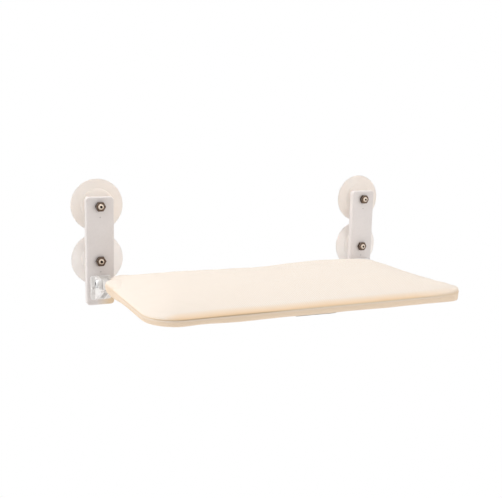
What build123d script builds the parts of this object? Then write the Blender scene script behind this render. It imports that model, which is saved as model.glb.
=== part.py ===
from build123d import *
import math
import os

# Window mounted cat perch: a padded bed on a tube frame that folds up on two suction mounts.
# Millimetres. The origin is the middle of the four cups, on the glass. +Y points into the
# window, +Z is up and +X is to the right for someone in the room. Distances from the glass
# into the room are called heights here, and a height h stands at y = -h.

# Where the mounts stand
cup_spacing = 78.0
mount_spacing = 438.0

# Suction cup
cup_diameter = 75.0
cup_height = 16.5
cup_lip = 0.9
cup_lip_round = 0.4
cup_seal_width = 2.6
cup_cavity_depth = 3.2
cup_skirt_height = 4.2
cup_step_diameter = 47.2
cup_step_height = 1.1
cup_hub_diameter = 20.0
cup_hub_root = 7.0
cup_hub_fillet = 2.5
cup_hub_chamfer = 0.8

# Threaded stud moulded into the cup, and its hexagon nut
stud_diameter = 8.0
stud_head_diameter = 17.0
stud_head_thickness = 2.4
stud_head_cover = 2.3
stud_proud = 2.0
stud_chamfer = 1.0
nut_across_flats = 13.0
nut_height = 6.5
nut_chamfer = 0.9
thread_clearance = 0.05

# Mount plate, a moulded tray that is open towards the glass
plate_width = 40.0
plate_length = 155.2
plate_above_stud = 13.4
plate_depth = 9.0
plate_wall = 2.5
plate_corner = 5.0
plate_edge_round = 2.0
plate_rib = 1.6
plate_rib_setback = 1.5
plate_rib_spread = 18.0
plate_cross_rib_pitch = 12.0
hub_clearance = 0.4
hub_ring_wall = 1.6
stud_hole_clearance = 0.2
dimple_diameter = 2.0
dimple_depth = 0.6
dimple_drop = 15.5
screw_boss_diameter = 8.4

# Tube frame of the bed
tube_diameter = 10.0
tube_wall = 1.0
rear_bend_radius = 33.0
front_bend_radius = 33.0
bend_angle = 90.0
spigot_length = 18.0
spigot_clearance = 0.05

# Cover and pad
bed_depth = 241.6
bed_top_below_origin = 60.0
cover_sheet = 1.4
cover_slack_side = 0.6
cover_slack_face = 0.2
cover_crown = 8.5
cover_crown_steepness = 6
cover_belly = 1.0
cover_belly_steepness = 2
seam_above_middle = 3.2
seam_proud = 0.9
seam_width = 1.6
pad_gap = 2.5
pad_seat = 0.3
pad_edge_round = 3.0
closure_length = 57.0
closure_width = 11.0
closure_thickness = 1.2
closure_from_middle = 7.5
closure_setback = 5.5
closure_seat = 0.35
edge_angle_shares = (0, 0.25, 0.5, 0.75, 1)
crown_shares = (0.06, 0.14, 0.28, 0.5, 0.8)

# Hinge between a mount and the bed
pin_from_plate = 21.0
pin_diameter = 8.0
pin_running_clearance = 0.05
pin_head_diameter = 12.0
pin_head_thickness = 3.2
pin_socket_across_flats = 5.0
pin_socket_depth = 2.0
pin_chamfer = 0.5
pin_beyond_clip = 1.0
clip_diameter = 12.0
clip_thickness = 1.0
clip_groove_depth = 0.8
clip_mouth = 5.0
lug_thickness = 7.4
lug_side_clearance = 0.4
lug_neck_length = 5.0
lug_neck_share = 0.6
notch_clearance = 3.5
lug_fillet = 0.6
clip_pocket_clearance = 0.5
rear_edge_behind_pin = 8.6

# Hinge bracket on each mount plate
bracket_cheek = 4.6
bracket_ear_radius = 7.0
bracket_base_width = 29.0
bracket_base_thickness = 3.0
bracket_base_corner = 2.5
bracket_base_round = 0.8
bracket_base_below_pin = 27.3
bracket_outer_strip = 5.4
bracket_shelf_reach = 18.0
bracket_shelf_overhang = 2.5
bracket_shelf_gap = 0.3
bracket_tip = 2.5
bracket_tip_round = 0.8
bracket_crook_round = 3.0
bracket_web = 3.0
bracket_window_width = 6.0
bracket_window_height = 7.0
bracket_window_round = 1.5
bracket_window_setback = 3.0
foot_lip_height = 2.6
foot_lip_proud = 2.0
foot_lip_above_base = 6.6

# Bracket screws and frame screws
screw_diameter = 4.0
screw_head_diameter = 7.0
screw_head_height = 2.4
screw_head_round = 1.0
screw_length = 8.0
screw_from_base_end = 6.5
outer_screw_above_base = 17.5
outer_screw_diameter = 3.0
outer_screw_head_diameter = 5.0
frame_screw_diameter = 3.0
frame_screw_head_diameter = 6.0
frame_screw_head_height = 1.6
frame_screw_length = 6.0
screw_hole_clearance = 0.05
cut_overrun = 1.0

# Places worked out from the sizes above
mount_x = mount_spacing / 2
stud_hole_zs = (cup_spacing / 2, -cup_spacing / 2)
face_height = cup_height + plate_wall
plate_back_height = face_height - plate_depth
plate_inner_depth = plate_depth - plate_wall
plate_top_z = cup_spacing / 2 + plate_above_stud
plate_middle_z = plate_top_z - plate_length / 2
tube_radius = tube_diameter / 2
spigot_radius = tube_radius - tube_wall - spigot_clearance
cover_edge_round = tube_radius + cover_slack_face + cover_sheet
pin_z = -bed_top_below_origin - cover_edge_round
pin_height = face_height + pin_from_plate
lug_inner_x = mount_x + tube_radius - lug_thickness - lug_fillet
lug_outer_x = lug_inner_x + lug_thickness
cheek_inner_x = lug_outer_x + lug_side_clearance
cheek_outer_x = cheek_inner_x + bracket_cheek
cover_side_allowance = tube_radius + cover_slack_side + cover_sheet
bed_half_width = mount_x + cover_side_allowance
rear_edge_height = pin_height - rear_edge_behind_pin
front_edge_height = rear_edge_height + bed_depth
bed_middle_y = -(rear_edge_height + front_edge_height) / 2
rear_tube_height = rear_edge_height + cover_side_allowance
front_tube_height = front_edge_height - cover_side_allowance
side_tube_start = rear_tube_height + rear_bend_radius
side_tube_end = front_tube_height - front_bend_radius
rear_corner_radius = rear_bend_radius + cover_side_allowance
front_corner_radius = front_bend_radius + cover_side_allowance
notch_side_x = lug_inner_x - clip_thickness - pin_beyond_clip - cover_sheet
notch_height = pin_height + bracket_shelf_reach + lug_neck_length + notch_clearance
base_bottom_z = pin_z - bracket_base_below_pin
base_top_z = pin_z + bracket_ear_radius
base_outer_x = cheek_outer_x + bracket_outer_strip
base_inner_x = base_outer_x - bracket_base_width
shelf_top_z = pin_z - cover_edge_round - bracket_shelf_gap
shelf_front_height = pin_height + bracket_shelf_reach
shelf_inner_x = lug_inner_x - bracket_shelf_overhang
inner_screw_x = base_inner_x + screw_head_diameter / 2 + cut_overrun
outer_screw_x = (cheek_outer_x + base_outer_x) / 2
inner_screw_zs = (base_top_z - screw_from_base_end, base_bottom_z + screw_from_base_end)
outer_screw_z = base_bottom_z + outer_screw_above_base

os.makedirs("parts", exist_ok=True)


def save(piece, name):
    """Write one finished piece under its own name."""
    piece.part.label = name
    export_step(piece.part, f"parts/{name}.step")


def save_pair(piece, name):
    """Write the right-hand piece and its mirror image on the left."""
    save(piece, f"right_{name}")
    with BuildPart() as mirrored:
        mirror(piece.part, about=Plane.YZ)
    save(mirrored, f"left_{name}")


# Suction cups with their studs and nuts

def stud_on(cup_z):
    """Stud of one cup: a flat head moulded into the hub and a shank towards the room."""
    head_start = cup_cavity_depth + stud_head_cover
    head_end = head_start + stud_head_thickness
    stud_end = face_height + nut_height + stud_proud
    stud_radius = stud_diameter / 2
    with BuildPart() as stud:
        with BuildSketch(Plane((mount_x, 0, cup_z))):
            with BuildLine():
                Polyline(
                    (0, -head_start),
                    (stud_head_diameter / 2, -head_start),
                    (stud_head_diameter / 2, -head_end),
                    (stud_radius, -head_end),
                    (stud_radius, -(stud_end - stud_chamfer)),
                    (stud_radius - stud_chamfer, -stud_end),
                    (0, -stud_end),
                    close=True,
                )
            make_face()
        revolve(axis=Axis((mount_x, 0, cup_z), (0, 1, 0)))
    return stud


def suction_cup(cup_z, stud):
    """Soft cup: sealing ring, thin skirt with a step, and a hub round the stud."""
    lip_radius = cup_diameter / 2
    seal_outer = lip_radius - cup_lip_round
    seal_inner = seal_outer - cup_seal_width
    hub_radius = cup_hub_diameter / 2
    step_radius = cup_step_diameter / 2
    corner_share = math.sqrt(0.5)
    root_corner = hub_radius + cup_hub_fillet * (1 - corner_share)
    root_corner_height = cup_hub_root + cup_hub_fillet * (1 - corner_share)
    with BuildPart() as cup:
        with BuildSketch(Plane((mount_x, 0, cup_z))):
            with BuildLine():
                ThreePointArc(
                    (0, -cup_cavity_depth),
                    (seal_inner / 2, -cup_cavity_depth * 3 / 4),
                    (seal_inner, 0),
                )
                Line((seal_inner, 0), (seal_outer, 0))
                ThreePointArc(
                    (seal_outer, 0),
                    (seal_outer + cup_lip_round * corner_share, -cup_lip_round * (1 - corner_share)),
                    (lip_radius, -cup_lip_round),
                )
                Polyline(
                    (lip_radius, -cup_lip_round),
                    (lip_radius, -cup_lip),
                    (step_radius, -cup_skirt_height),
                    (step_radius, -(cup_skirt_height + cup_step_height)),
                    (hub_radius + cup_hub_fillet, -cup_hub_root),
                )
                ThreePointArc(
                    (hub_radius + cup_hub_fillet, -cup_hub_root),
                    (root_corner, -root_corner_height),
                    (hub_radius, -(cup_hub_root + cup_hub_fillet)),
                )
                Polyline(
                    (hub_radius, -(cup_hub_root + cup_hub_fillet)),
                    (hub_radius, -(cup_height - cup_hub_chamfer)),
                    (hub_radius - cup_hub_chamfer, -cup_height),
                    (0, -cup_height),
                    (0, -cup_cavity_depth),
                )
            make_face()
        revolve(axis=Axis((mount_x, 0, cup_z), (0, 1, 0)))
        add(stud.part, mode=Mode.SUBTRACT)
    return cup


studs = {cup_z: stud_on(cup_z) for cup_z in stud_hole_zs}
for place, cup_z in zip(("upper", "lower"), stud_hole_zs):
    save_pair(suction_cup(cup_z, studs[cup_z]), f"{place}_suction_cup")

with BuildPart() as cup_studs:
    for stud in studs.values():
        add(stud.part)
save_pair(cup_studs, "cup_studs")

# A nut is a hexagon whose outer corners are turned off by the chamfer
nut_corner_radius = nut_across_flats / 2 / math.cos(math.pi / 6)
nut_points = [(mount_x, cup_z) for cup_z in stud_hole_zs]
with BuildPart() as turned_blanks:
    with BuildSketch(Plane.XZ.offset(face_height)):
        with Locations(*nut_points):
            Circle(nut_corner_radius)
    extrude(amount=nut_height)
    chamfer(turned_blanks.faces().group_by(Axis.Y)[0].edges(), nut_chamfer)

with BuildPart() as hex_nuts:
    with BuildSketch(Plane.XZ.offset(face_height)):
        with Locations(*nut_points):
            RegularPolygon(nut_corner_radius, 6)
            Circle(stud_diameter / 2 + thread_clearance, mode=Mode.SUBTRACT)
    extrude(amount=nut_height)
    add(turned_blanks.part, mode=Mode.INTERSECT)
save_pair(hex_nuts, "hex_nuts")

# Mount plates

base_middle_x = (base_inner_x + base_outer_x) / 2
bracket_screws_at = [
    (inner_screw_x, inner_screw_zs[0], screw_diameter, screw_head_diameter),
    (inner_screw_x, inner_screw_zs[1], screw_diameter, screw_head_diameter),
    (outer_screw_x, outer_screw_z, outer_screw_diameter, outer_screw_head_diameter),
]
cross_rib_zs = [*(plate_cross_rib_pitch * step for step in (-1, 0, 1)), *inner_screw_zs]

with BuildPart() as mount_plate:
    with BuildSketch(Plane.XZ.offset(plate_back_height)):
        with Locations((mount_x, plate_middle_z)):
            RectangleRounded(plate_width, plate_length, plate_corner)
    extrude(amount=plate_depth)
    fillet(mount_plate.faces().sort_by(Axis.Y)[0].edges(), plate_edge_round)
    with BuildSketch(Plane.XZ.offset(plate_back_height)):
        with Locations((mount_x, plate_middle_z)):
            RectangleRounded(
                plate_width - 2 * plate_wall, plate_length - 2 * plate_wall, plate_corner - plate_wall
            )
    extrude(amount=plate_inner_depth, mode=Mode.SUBTRACT)
    with BuildSketch(Plane.XZ.offset(plate_back_height + plate_rib_setback)):
        with Locations((mount_x, plate_middle_z)):
            with GridLocations(plate_rib_spread, 0, 2, 1):
                Rectangle(plate_rib, plate_length - 2 * plate_wall)
        with Locations(*[(mount_x, rib_z) for rib_z in cross_rib_zs]):
            Rectangle(plate_width - 2 * plate_wall, plate_rib)
        with Locations(*[(x, z) for x, z, _, _ in bracket_screws_at]):
            Circle(screw_boss_diameter / 2)
        with Locations(*nut_points):
            Circle(cup_hub_diameter / 2 + hub_clearance + hub_ring_wall)
        with Locations(*nut_points):
            Circle(cup_hub_diameter / 2 + hub_clearance, mode=Mode.SUBTRACT)
        with Locations((mount_x, plate_middle_z)):
            RectangleRounded(
                plate_width - plate_wall, plate_length - plate_wall, plate_corner - plate_wall,
                mode=Mode.INTERSECT,
            )
    extrude(amount=plate_inner_depth - plate_rib_setback)
    with BuildSketch(Plane.XZ.offset(face_height)):
        with Locations(*nut_points):
            Circle(stud_diameter / 2 + stud_hole_clearance)
    extrude(amount=-plate_wall, mode=Mode.SUBTRACT)
    with BuildSketch(Plane.XZ.offset(face_height)):
        for x, z, diameter, _ in bracket_screws_at:
            with Locations((x, z)):
                Circle(diameter / 2 + screw_hole_clearance)
    extrude(amount=-plate_depth, mode=Mode.SUBTRACT)
    with BuildSketch(Plane.XZ.offset(face_height)):
        with Locations(*[(mount_x, cup_z - dimple_drop) for cup_z in stud_hole_zs]):
            Circle(dimple_diameter / 2)
    extrude(amount=-dimple_depth, mode=Mode.SUBTRACT)
save_pair(mount_plate, "mount_plate")

# Hinge brackets: base, outer cheek with the ear for the pin, and a propped shelf


def side_outline(shelf_only):
    """Side outline in y and z of the cheek, or of the web under the shelf."""
    corner_share = math.sqrt(0.5)
    base_y = -face_height
    pin_y = -pin_height
    ear_front_y = pin_y - bracket_ear_radius
    front_y = -shelf_front_height
    top_z = shelf_top_z if shelf_only else base_top_z
    with BuildSketch() as outline:
        with BuildLine():
            Polyline(
                (front_y, shelf_top_z),
                (front_y, shelf_top_z - bracket_tip),
                (base_y - bracket_base_thickness, base_bottom_z),
                (base_y, base_bottom_z),
                (base_y, top_z),
            )
            if shelf_only:
                Line((base_y, top_z), (front_y, shelf_top_z))
            else:
                Line((base_y, top_z), (pin_y, top_z))
                ThreePointArc(
                    (pin_y, top_z),
                    (
                        pin_y - bracket_ear_radius * corner_share,
                        pin_z + bracket_ear_radius * corner_share,
                    ),
                    (ear_front_y, pin_z),
                )
                Polyline((ear_front_y, pin_z), (ear_front_y, shelf_top_z), (front_y, shelf_top_z))
        make_face()
        fillet(outline.vertices().group_by(Axis.X)[0], bracket_tip_round)
        if not shelf_only:
            crook = Vector(ear_front_y, shelf_top_z)
            fillet(outline.vertices().sort_by_distance(crook)[0], bracket_crook_round)
    return outline.sketch


cheek_outline = side_outline(shelf_only=False)
web_outline = side_outline(shelf_only=True)
foot_lip_z = base_bottom_z + foot_lip_above_base
with BuildPart() as hinge_bracket:
    with BuildSketch(Plane.XZ.offset(face_height)):
        with Locations((base_middle_x, (base_top_z + base_bottom_z) / 2)):
            RectangleRounded(bracket_base_width, base_top_z - base_bottom_z, bracket_base_corner)
    extrude(amount=bracket_base_thickness)
    fillet(hinge_bracket.faces().sort_by(Axis.Y)[0].edges(), bracket_base_round)
    with BuildSketch(Plane.YZ.offset(cheek_inner_x)):
        add(cheek_outline)
        with Locations(
            (
                -(face_height + bracket_base_thickness + bracket_window_setback + bracket_window_width / 2),
                pin_z,
            )
        ):
            RectangleRounded(
                bracket_window_width, bracket_window_height, bracket_window_round, mode=Mode.SUBTRACT
            )
    extrude(amount=bracket_cheek)
    with BuildSketch(Plane.YZ.offset(shelf_inner_x)):
        add(web_outline)
    extrude(amount=bracket_web)
    with BuildSketch(Plane.XY.offset(shelf_top_z)):
        with Locations(((shelf_inner_x + cheek_outer_x) / 2, -(face_height + shelf_front_height) / 2)):
            Rectangle(cheek_outer_x - shelf_inner_x, shelf_front_height - face_height)
    extrude(amount=-bracket_tip)
    with BuildSketch(Plane.XZ.offset(face_height + bracket_base_thickness)):
        with Locations(((cheek_outer_x + base_outer_x) / 2, foot_lip_z)):
            Rectangle(bracket_outer_strip, foot_lip_height)
    extrude(amount=foot_lip_proud)
    with BuildSketch(Plane.YZ.offset(cheek_inner_x)):
        with Locations((-pin_height, pin_z)):
            Circle(pin_diameter / 2)
    extrude(amount=bracket_cheek, mode=Mode.SUBTRACT)
    with BuildSketch(Plane.XZ.offset(face_height)):
        for x, z, diameter, _ in bracket_screws_at:
            with Locations((x, z)):
                Circle(diameter / 2 + screw_hole_clearance)
    extrude(amount=bracket_base_thickness, mode=Mode.SUBTRACT)
save_pair(hinge_bracket, "hinge_bracket")

# Screws that hold the bracket to the plate

base_front_height = face_height + bracket_base_thickness
with BuildPart() as bracket_screws:
    for x, z, diameter, head_diameter in bracket_screws_at:
        with BuildSketch(Plane.XZ.offset(base_front_height - screw_length)):
            with Locations((x, z)):
                Circle(diameter / 2)
        extrude(amount=screw_length)
        with BuildSketch(Plane.XZ.offset(base_front_height)):
            with Locations((x, z)):
                Circle(head_diameter / 2)
        extrude(amount=screw_head_height)
    fillet(bracket_screws.faces().group_by(Axis.Y)[0].edges(), screw_head_round)
save_pair(bracket_screws, "bracket_screws")

# Hinge pins, pressed into the cheek from outside, and the clips on their inner ends

clip_outer_x = lug_inner_x - lug_fillet / 2
clip_inner_x = clip_outer_x - clip_thickness
pin_inner_x = clip_inner_x - pin_beyond_clip
groove_radius = pin_diameter / 2 - clip_groove_depth
pin_axis_at = (-pin_height, pin_z)
with BuildPart() as hinge_pin:
    with BuildSketch(Plane.YZ.offset(pin_inner_x)):
        with Locations(pin_axis_at):
            Circle(pin_diameter / 2)
    extrude(amount=cheek_outer_x - pin_inner_x)
    with BuildSketch(Plane.YZ.offset(cheek_outer_x)):
        with Locations(pin_axis_at):
            Circle(pin_head_diameter / 2)
    extrude(amount=pin_head_thickness)
    end_faces = hinge_pin.faces().sort_by(Axis.X)
    chamfer(end_faces[0].edges(), pin_chamfer)
    chamfer(end_faces[-1].edges(), pin_chamfer)
    with BuildSketch(Plane.YZ.offset(cheek_outer_x + pin_head_thickness)):
        with Locations(pin_axis_at):
            RegularPolygon(pin_socket_across_flats / 2, 6, major_radius=False)
    extrude(amount=-pin_socket_depth, mode=Mode.SUBTRACT)
    with BuildSketch(Plane.YZ.offset(clip_inner_x)):
        with Locations(pin_axis_at):
            Circle(pin_diameter / 2)
            Circle(groove_radius, mode=Mode.SUBTRACT)
    extrude(amount=clip_thickness, mode=Mode.SUBTRACT)
save_pair(hinge_pin, "hinge_pin")

with BuildPart() as pin_clip:
    with BuildSketch(Plane.YZ.offset(clip_inner_x)):
        with Locations(pin_axis_at):
            Circle(clip_diameter / 2)
            Circle(groove_radius, mode=Mode.SUBTRACT)
        with Locations((-pin_height, pin_z - clip_diameter / 4)):
            Rectangle(clip_mouth, clip_diameter / 2, mode=Mode.SUBTRACT)
    extrude(amount=clip_thickness)
save_pair(pin_clip, "pin_clip")

# Frame of the bed: straight tubes joined by corner castings


def round_bar(plane, centre, radius, length):
    """Plain cylinder that starts on a plane."""
    with BuildPart() as bar:
        with BuildSketch(plane):
            with Locations(centre):
                Circle(radius)
        extrude(amount=length)
    return bar.part


rear_tube_half = mount_x - rear_bend_radius
front_tube_half = mount_x - front_bend_radius
side_screw_plane = Plane.YZ.offset(mount_x - tube_radius)
rear_screw_plane = Plane.XZ.offset(rear_tube_height + tube_radius)
front_screw_plane = Plane.XZ.offset(front_tube_height - tube_radius)
side_screw_ys = [
    -(side_tube_start + spigot_length / 2),
    -(side_tube_end - spigot_length / 2),
]
rear_screw_x = rear_tube_half - spigot_length / 2
front_screw_x = front_tube_half - spigot_length / 2

# Plane, centre on it and direction of each frame screw of the right half
rear_side_screw = (side_screw_plane, (side_screw_ys[0], pin_z), 1)
front_side_screw = (side_screw_plane, (side_screw_ys[1], pin_z), 1)
rear_cross_screw = (rear_screw_plane, (rear_screw_x, pin_z), -1)
front_cross_screw = (front_screw_plane, (front_screw_x, pin_z), 1)
frame_screws_at = [rear_side_screw, front_side_screw, rear_cross_screw, front_cross_screw]


def screw_bore(screw, depth):
    """Bore for one frame screw."""
    plane, centre, direction = screw
    return round_bar(plane, centre, frame_screw_diameter / 2 + screw_hole_clearance, direction * depth)


bore_depth = frame_screw_length + cut_overrun

# Rear corner: bend, two spigots and the lug that turns on the hinge pin

neck_y = -(shelf_front_height + cut_overrun)
neck_end_y = neck_y - lug_neck_length
knuckle_radius = cover_edge_round
neck_half = lug_neck_share * tube_radius
rear_barrel = round_bar(
    Plane.XZ.offset(side_tube_start), (mount_x, pin_z), tube_radius, -(side_tube_start + neck_y)
)
rear_spigots = [
    round_bar(Plane.XZ.offset(side_tube_start), (mount_x, pin_z), spigot_radius, spigot_length),
    round_bar(Plane.YZ.offset(rear_tube_half), (-rear_tube_height, pin_z), spigot_radius, -spigot_length),
]
rear_bores = [screw_bore(rear_side_screw, bore_depth), screw_bore(rear_cross_screw, bore_depth)]
lug_plane = Plane.YZ.offset(lug_inner_x)
pin_bore = round_bar(lug_plane, pin_axis_at, pin_diameter / 2 + pin_running_clearance, lug_thickness)
clip_pocket = round_bar(
    lug_plane,
    pin_axis_at,
    clip_diameter / 2 + clip_pocket_clearance,
    -(lug_thickness + pin_beyond_clip),
)
with BuildPart() as rear_corner:
    with BuildSketch(Plane.XZ.offset(side_tube_start)):
        with Locations((mount_x, pin_z)):
            Circle(tube_radius)
    revolve(axis=Axis((rear_tube_half, -side_tube_start, 0), (0, 0, 1)), revolution_arc=bend_angle)
    add(rear_barrel)
    add(rear_spigots)
    with BuildSketch(lug_plane):
        with Locations(pin_axis_at):
            Circle(knuckle_radius)
        with BuildLine():
            Polyline(
                (-pin_height, pin_z + knuckle_radius),
                (neck_y, pin_z + knuckle_radius),
                (neck_end_y, pin_z + neck_half),
                (neck_end_y, pin_z - neck_half),
                (neck_y, pin_z - knuckle_radius),
                (-pin_height, pin_z - knuckle_radius),
                close=True,
            )
        make_face()
    extrude(amount=lug_thickness)
    add(pin_bore, mode=Mode.SUBTRACT)
    add(clip_pocket, mode=Mode.SUBTRACT)
    add(rear_bores, mode=Mode.SUBTRACT)
save_pair(rear_corner, "rear_corner")

# Front corner: bend and two spigots

front_spigots = [
    round_bar(Plane.XZ.offset(side_tube_end), (mount_x, pin_z), spigot_radius, -spigot_length),
    round_bar(Plane.YZ.offset(front_tube_half), (-front_tube_height, pin_z), spigot_radius, -spigot_length),
]
front_bores = [screw_bore(front_side_screw, bore_depth), screw_bore(front_cross_screw, bore_depth)]
with BuildPart() as front_corner:
    with BuildSketch(Plane.XZ.offset(side_tube_end)):
        with Locations((mount_x, pin_z)):
            Circle(tube_radius)
    revolve(axis=Axis((front_tube_half, -side_tube_end, 0), (0, 0, -1)), revolution_arc=bend_angle)
    add(front_spigots)
    add(front_bores, mode=Mode.SUBTRACT)
save_pair(front_corner, "front_corner")


def tube_section():
    """Ring section of a frame tube, in the sketch that calls it."""
    Circle(tube_radius)
    Circle(tube_radius - tube_wall, mode=Mode.SUBTRACT)


side_holes = [screw_bore(screw, tube_radius) for screw in (rear_side_screw, front_side_screw)]
with BuildPart() as side_tube:
    with BuildSketch(Plane.XZ.offset(side_tube_start)):
        with Locations((mount_x, pin_z)):
            tube_section()
    extrude(amount=side_tube_end - side_tube_start)
    add(side_holes, mode=Mode.SUBTRACT)
save_pair(side_tube, "side_tube")

rear_hole = screw_bore(rear_cross_screw, tube_radius)
with BuildPart() as rear_tube:
    with BuildSketch(Plane.YZ):
        with Locations((-rear_tube_height, pin_z)):
            tube_section()
    extrude(amount=rear_tube_half, both=True)
    add(rear_hole, mode=Mode.SUBTRACT)
    mirror(rear_hole, about=Plane.YZ, mode=Mode.SUBTRACT)
save(rear_tube, "rear_tube")

front_hole = screw_bore(front_cross_screw, tube_radius)
with BuildPart() as front_tube:
    with BuildSketch(Plane.YZ):
        with Locations((-front_tube_height, pin_z)):
            tube_section()
    extrude(amount=front_tube_half, both=True)
    add(front_hole, mode=Mode.SUBTRACT)
    mirror(front_hole, about=Plane.YZ, mode=Mode.SUBTRACT)
save(front_tube, "front_tube")

# Frame screws, with their heads on the inner side of the tubes

right_screws = []
for plane, centre, direction in frame_screws_at:
    right_screws.append(
        round_bar(plane, centre, frame_screw_diameter / 2, direction * frame_screw_length)
        + round_bar(plane, centre, frame_screw_head_diameter / 2, -direction * frame_screw_head_height)
    )
with BuildPart() as frame_screws:
    add(right_screws)
    mirror(right_screws, about=Plane.YZ)
save(frame_screws, "frame_screws")

# Cover: a top panel and an underside panel, sewn together on the upper half of the edge


def bed_outline(inset, corner_inset):
    """Outline of the bed, drawn in by an inset, with its own corner radii."""
    with BuildSketch() as outline:
        with Locations((0, bed_middle_y)):
            Rectangle(2 * (bed_half_width - inset), bed_depth - 2 * inset)
        rows = outline.vertices().group_by(Axis.Y)
        fillet(rows[-1], rear_corner_radius - corner_inset)
        rows = outline.vertices().group_by(Axis.Y)
        fillet(rows[0], front_corner_radius - corner_inset)
    return outline.sketch


def pillow_sections(skin, rise, steepness, start_inset, edge_round):
    """Outlines of one half of the bed from its edge to its middle, with their heights.

    skin is how far the surface lies inside the cover, rise is the crown in the middle and
    steepness how soon it is reached, and the edge is rounded from start_inset inwards.
    """
    top = cover_edge_round - skin
    sections = []
    for share in edge_angle_shares:
        turn = share * math.pi / 2
        inset = start_inset + edge_round * (1 - math.cos(turn))
        height = top - edge_round * (1 - math.sin(turn))
        sections.append((bed_outline(inset, inset), height))
    reach = bed_depth / 2 - start_inset - edge_round
    for share in crown_shares:
        inset = start_inset + edge_round + share * reach
        corner_inset = start_inset + edge_round + share * (front_corner_radius - start_inset - edge_round)
        height = top + rise * (1 - (1 - share) ** steepness)
        sections.append((bed_outline(inset, corner_inset), height))
    return sections


def pillow_half(sections, side):
    """Solid between the edge plane and a pillow surface above it, or below it for side -1."""
    with BuildPart() as half:
        for outline, height in sections:
            with BuildSketch(Plane.XY.offset(pin_z + side * height)):
                add(outline)
        loft(ruled=True)
    return half.part


notch_width = bed_half_width - notch_side_x + cut_overrun
notch_reach = notch_height - rear_edge_height + cut_overrun
with BuildPart() as corner_notches:
    with BuildSketch(Plane.XY.offset(pin_z)):
        for x in (-(notch_side_x + notch_width / 2), notch_side_x + notch_width / 2):
            with Locations((x, -notch_height + notch_reach / 2)):
                Rectangle(notch_width, notch_reach)
    extrude(amount=2 * cover_edge_round, both=True)

inner_round = cover_edge_round - cover_sheet
crown = (cover_crown, cover_crown_steepness)
belly = (cover_belly, cover_belly_steepness)
top_outer = pillow_half(pillow_sections(0, *crown, 0, cover_edge_round), 1)
top_inner = pillow_half(pillow_sections(cover_sheet, *crown, cover_sheet, inner_round), 1)
belly_outer = pillow_half(pillow_sections(0, *belly, 0, cover_edge_round), -1)
belly_inner = pillow_half(pillow_sections(cover_sheet, *belly, cover_sheet, inner_round), -1)

with BuildPart() as cover_form:
    add(top_outer)
    add(belly_outer)

with BuildPart() as cover_skin:
    add(cover_form.part)
    add(top_inner, mode=Mode.SUBTRACT)
    add(belly_inner, mode=Mode.SUBTRACT)
    add(corner_notches.part, mode=Mode.SUBTRACT)

seam_plane = Plane.XY.offset(pin_z + seam_above_middle)
with BuildPart() as cover_top_panel:
    add(cover_skin.part)
    split(bisect_by=seam_plane, keep=Keep.TOP)
save(cover_top_panel, "cover_top_panel")

with BuildPart() as cover_underside_panel:
    add(cover_skin.part)
    split(bisect_by=seam_plane, keep=Keep.BOTTOM)
save(cover_underside_panel, "cover_underside_panel")

# Welt of the seam, a strip that stands proud of the cover where the panels meet

seam_inset = cover_edge_round - math.sqrt(cover_edge_round ** 2 - seam_above_middle ** 2)
welt_inset = seam_inset - seam_proud
with BuildPart() as cover_seam:
    with BuildSketch(seam_plane):
        add(bed_outline(welt_inset, welt_inset))
    extrude(amount=seam_width / 2, both=True)
    add(cover_form.part, mode=Mode.SUBTRACT)
    add(corner_notches.part, mode=Mode.SUBTRACT)
save(cover_seam, "cover_seam")

# Foam pad inside the ring of tubes

pad_inset = cover_side_allowance + tube_radius + pad_gap
pad_sections = pillow_sections(cover_sheet, *crown, pad_inset, pad_edge_round)
pad_seat_height = cover_edge_round - cover_sheet - pad_seat
with BuildPart() as foam_pad:
    with BuildSketch(Plane.XY.offset(pin_z - pad_seat_height)):
        add(pad_sections[0][0])
    for outline, height in pad_sections:
        with BuildSketch(Plane.XY.offset(pin_z + height - pad_seat)):
            add(outline)
    loft(ruled=True)
save(foam_pad, "foam_pad")

# Hook and loop tape that closes the cover, under its front edge

closure_middle_y = -(front_edge_height - closure_setback - closure_width / 2)
with BuildPart() as closure_tape:
    with BuildSketch(Plane.XY.offset(pin_z - cover_edge_round - closure_seat)):
        with Locations((-closure_from_middle, closure_middle_y)):
            Rectangle(closure_length, closure_width)
    extrude(amount=-closure_thickness)
save(closure_tape, "closure_tape")
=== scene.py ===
import math
from itertools import groupby

import bmesh
import bpy
from mathutils import Matrix, Vector, noise
from mathutils.bvhtree import BVHTree


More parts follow.
